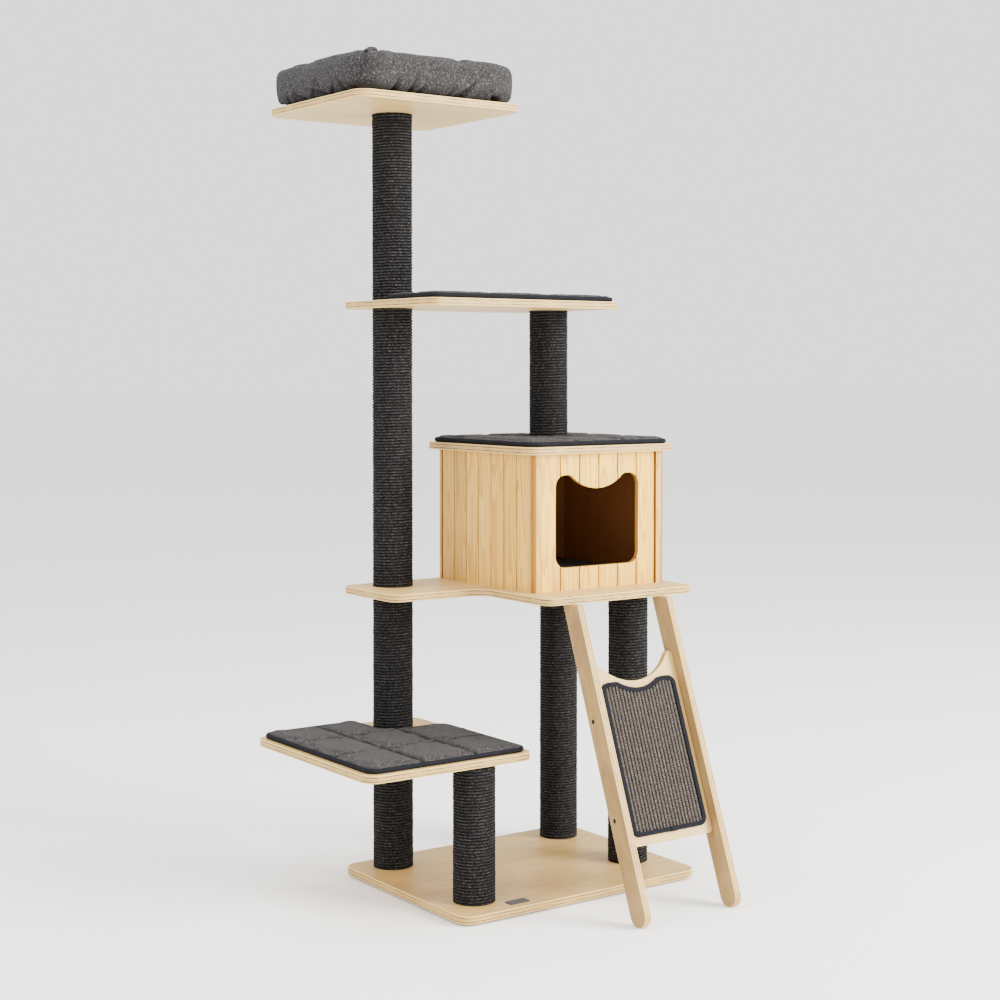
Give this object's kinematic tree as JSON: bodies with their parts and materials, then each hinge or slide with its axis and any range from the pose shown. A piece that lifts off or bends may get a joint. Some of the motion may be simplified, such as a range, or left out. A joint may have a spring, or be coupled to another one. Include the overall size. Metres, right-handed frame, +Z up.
{
  "type": "cat tree",
  "caption": "Free-standing cat tree: rope-wrapped posts, plywood platforms, a slatted house with an eared door, a bolster bed and a leaning ladder with a scratching mat.",
  "frame": {"origin": "on the floor under the centre of the base board", "axes": "+Z up, +X along the base's front edge to the right, +Y to the back; the ladder comes down at the front, along -Y"},
  "size_m": [0.788, 0.7764, 1.655],
  "materials": {
    "birch_ply": "satin lacquered birch plywood with its layers showing at the edges",
    "pine": "satin lacquered pine",
    "rope": "matt dark rope, wound tight",
    "card_tube": "brown paper tube",
    "plug_wood": "raw fibreboard",
    "zinc_steel": "zinc plated steel",
    "dark_screw": "blackened steel",
    "foot_rubber": "matt rubber",
    "plate_metal": "dark satin plate, blank",
    "sisal": "ribbed taupe and brown weave",
    "binding": "dark navy grey tape",
    "melange": "grey melange weave, quilted",
    "dark_felt": "near black fabric"
  },
  "bodies": {
    "tree": {"base_board": "birch_ply", "base_feet": "foot_rubber", "house_back_slats": "pine", "house_front_slats": "pine", "house_left_slats": "pine", "house_pad": "dark_felt", "house_post_back_left": "pine", "house_post_back_right": "pine", "house_post_front_left": "pine", "house_post_front_right": "pine", "house_right_slats": "pine", "house_roof": "birch_ply", "ladder_left_rail": "birch_ply", "ladder_panel": "birch_ply", "ladder_right_rail": "birch_ply", "ladder_side_screws": "dark_screw", "ladder_top_screws": "dark_screw", "mat_binding": "binding", "middle_platform": "birch_ply", "name_plate": "plate_metal", "post_bolts": "zinc_steel", "post_plugs": "plug_wood", "post_studs": "zinc_steel", "roof_pad": "melange", "rope_back": "rope", "rope_front": "rope", "rope_step": "rope", "rope_tall_1": "rope", "rope_tall_2": "rope", "rope_tall_3": "rope", "rope_tall_4": "rope", "rope_upper": "rope", "scratching_mat": "sisal", "step_platform": "birch_ply", "top_platform": "birch_ply", "tube_back": "card_tube", "tube_front": "card_tube", "tube_step": "card_tube", "tube_tall_1": "card_tube", "tube_tall_2": "card_tube", "tube_tall_3": "card_tube", "tube_tall_4": "card_tube", "tube_upper": "card_tube", "upper_shelf": "birch_ply"},
    "bed": {"bed_bolster": "melange", "bed_mattress": "melange"},
    "step_cushion": {"step_pad": "melange"},
    "shelf_cushion": {"shelf_pad": "melange"}
  },
  "joints": [
    {"name": "bed_lift", "type": "slide", "parent": "tree", "child": "bed", "axis": [0, 0, 1], "range_m": [0, 0.15]},
    {"name": "step_pad_lift", "type": "slide", "parent": "tree", "child": "step_cushion", "axis": [0, 0, 1], "range_m": [0, 0.1]},
    {"name": "shelf_pad_lift", "type": "slide", "parent": "tree", "child": "shelf_cushion", "axis": [0, 0, 1], "range_m": [0, 0.1]}
  ]
}
